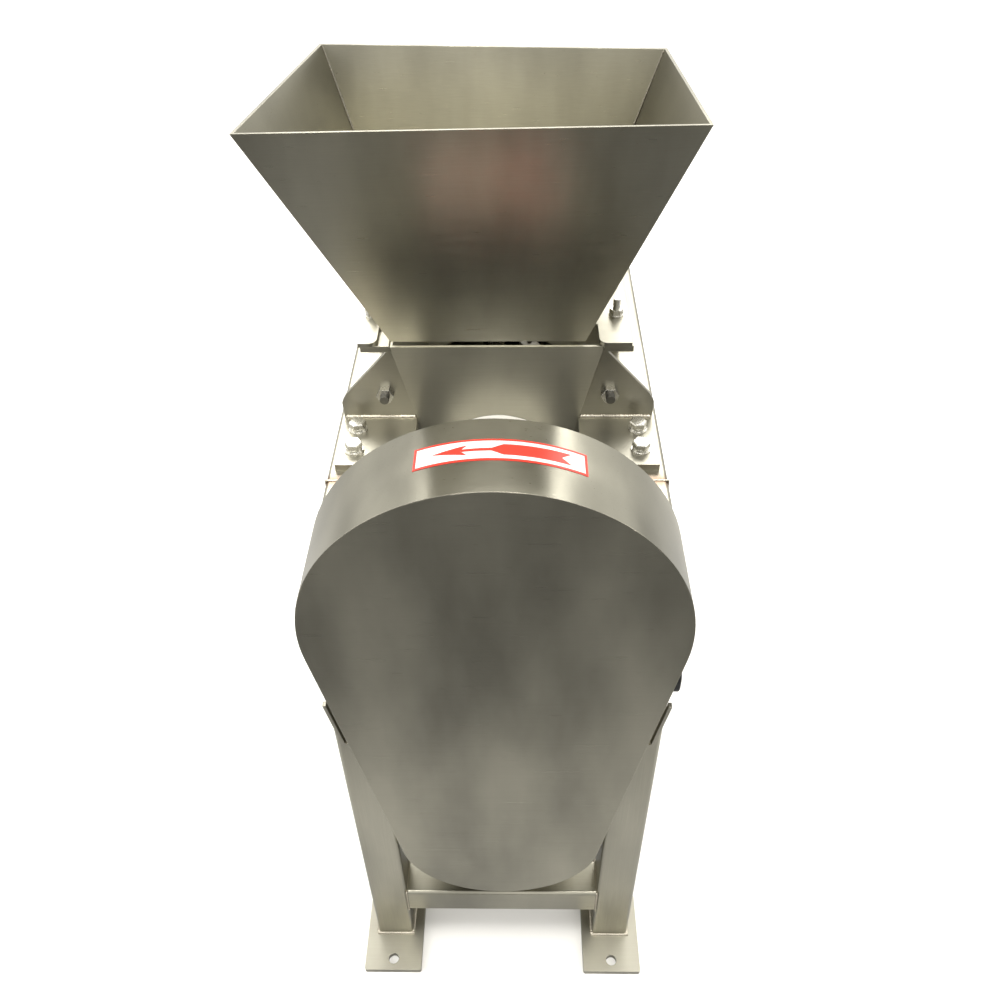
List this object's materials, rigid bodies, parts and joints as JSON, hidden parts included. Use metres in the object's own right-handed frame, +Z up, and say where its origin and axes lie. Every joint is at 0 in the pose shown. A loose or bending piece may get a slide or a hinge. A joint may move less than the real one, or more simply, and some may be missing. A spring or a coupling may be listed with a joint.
{
  "type": "grape crusher destemmer",
  "caption": "Free-standing stainless grape crusher and destemmer with a tapered square hopper over a toothed rotor and drum, driven by a guarded belt from a motor below.",
  "frame": {"origin": "the centre of the four foot anchor holes, on the floor plane", "axes": "+Z up, -Y towards the belt guard at the machine's front, +X to the right of someone who faces the guard"},
  "size_m": [0.412, 0.804, 1.1002],
  "materials": {
    "stainless_tube": "brushed stainless square tube",
    "stainless_plate": "brushed stainless plate",
    "stainless_sheet": "brushed stainless sheet",
    "bolt_steel": "plain stainless fasteners",
    "turned_steel": "turned stainless steel",
    "bearing_steel": "ground bearing steel",
    "cast_iron": "machined grey cast iron",
    "belt_rubber": "black belt rubber",
    "seal_rubber": "nitrile rubber",
    "label_film": "printed film",
    "motor_paint": "satin machine enamel",
    "motor_core": "varnished electrical steel",
    "black_plastic": "moulded black plastic",
    "green_plastic": "moulded green plastic",
    "red_plastic": "moulded red plastic"
  },
  "bodies": {
    "frame": {"leg_front_left": "stainless_tube", "leg_front_right": "stainless_tube", "leg_rear_left": "stainless_tube", "leg_rear_right": "stainless_tube", "side_rail_left": "stainless_tube", "side_rail_right": "stainless_tube", "lower_rail_left": "stainless_tube", "lower_rail_right": "stainless_tube", "lower_crossbar_front": "stainless_tube", "lower_crossbar_rear": "stainless_tube", "motor_cross_tubes": "stainless_tube", "foot_plates": "stainless_plate", "hopper_foot_left": "stainless_plate", "hopper_foot_right": "stainless_plate", "throat_flange": "stainless_plate", "front_end_plate": "stainless_plate", "rear_end_plate": "stainless_plate", "front_foot_plate": "stainless_plate", "rear_foot_plates": "stainless_plate", "guard_brackets": "stainless_plate", "rear_wall": "stainless_plate", "motor_plate": "stainless_plate", "hopper": "stainless_sheet", "throat": "stainless_sheet", "drum_cage": "stainless_sheet", "drum_trough": "stainless_sheet", "drum_cover": "stainless_sheet", "drum_bridge": "stainless_sheet", "must_chute": "stainless_sheet", "stem_chute": "stainless_sheet", "belt_guard": "stainless_sheet", "hopper_bolts": "bolt_steel", "hopper_nuts": "bolt_steel", "frame_bolts": "bolt_steel", "frame_washers": "bolt_steel", "tie_rods": "bolt_steel", "tie_rod_nuts": "bolt_steel", "motor_bolts": "bolt_steel", "front_bearing_housing": "turned_steel", "rear_bearing_housing": "turned_steel", "front_bearing": "bearing_steel", "rear_bearing": "bearing_steel", "v_belts": "belt_rubber", "front_seal": "seal_rubber", "arrow_label": "label_film", "motor_housing": "motor_paint", "motor_end_shields": "motor_paint", "motor_cowl": "motor_paint", "motor_terminal_box": "motor_paint", "motor_stator": "motor_core", "switch_box": "black_plastic"},
    "rotor": {"main_shaft": "turned_steel", "crushing_rotor": "turned_steel", "destemming_paddles": "turned_steel", "big_pulley": "cast_iron"},
    "motor_rotor": {"motor_shaft": "turned_steel", "small_pulley": "cast_iron", "motor_fan": "black_plastic"},
    "start_button": {"start_button": "green_plastic"},
    "stop_button": {"stop_button": "red_plastic"}
  },
  "joints": [
    {"name": "rotor_spin", "type": "hinge", "parent": "frame", "child": "rotor", "pos_m": [0, 0, 0.686], "axis": [0, -1, 0], "continuous": true},
    {"name": "motor_spin", "type": "hinge", "parent": "frame", "child": "motor_rotor", "pos_m": [0, 0, 0.282], "axis": [0, -1, 0], "continuous": true},
    {"name": "start_press", "type": "slide", "parent": "frame", "child": "start_button", "axis": [-1, 0, 0], "range_m": [0, 0.003], "stiffness_N_per_m": 400},
    {"name": "stop_press", "type": "slide", "parent": "frame", "child": "stop_button", "axis": [-1, 0, 0], "range_m": [0, 0.003], "stiffness_N_per_m": 400}
  ],
  "couplings": [
    {"joint": "motor_spin", "follows": "rotor_spin", "ratio": 2.9268}
  ]
}
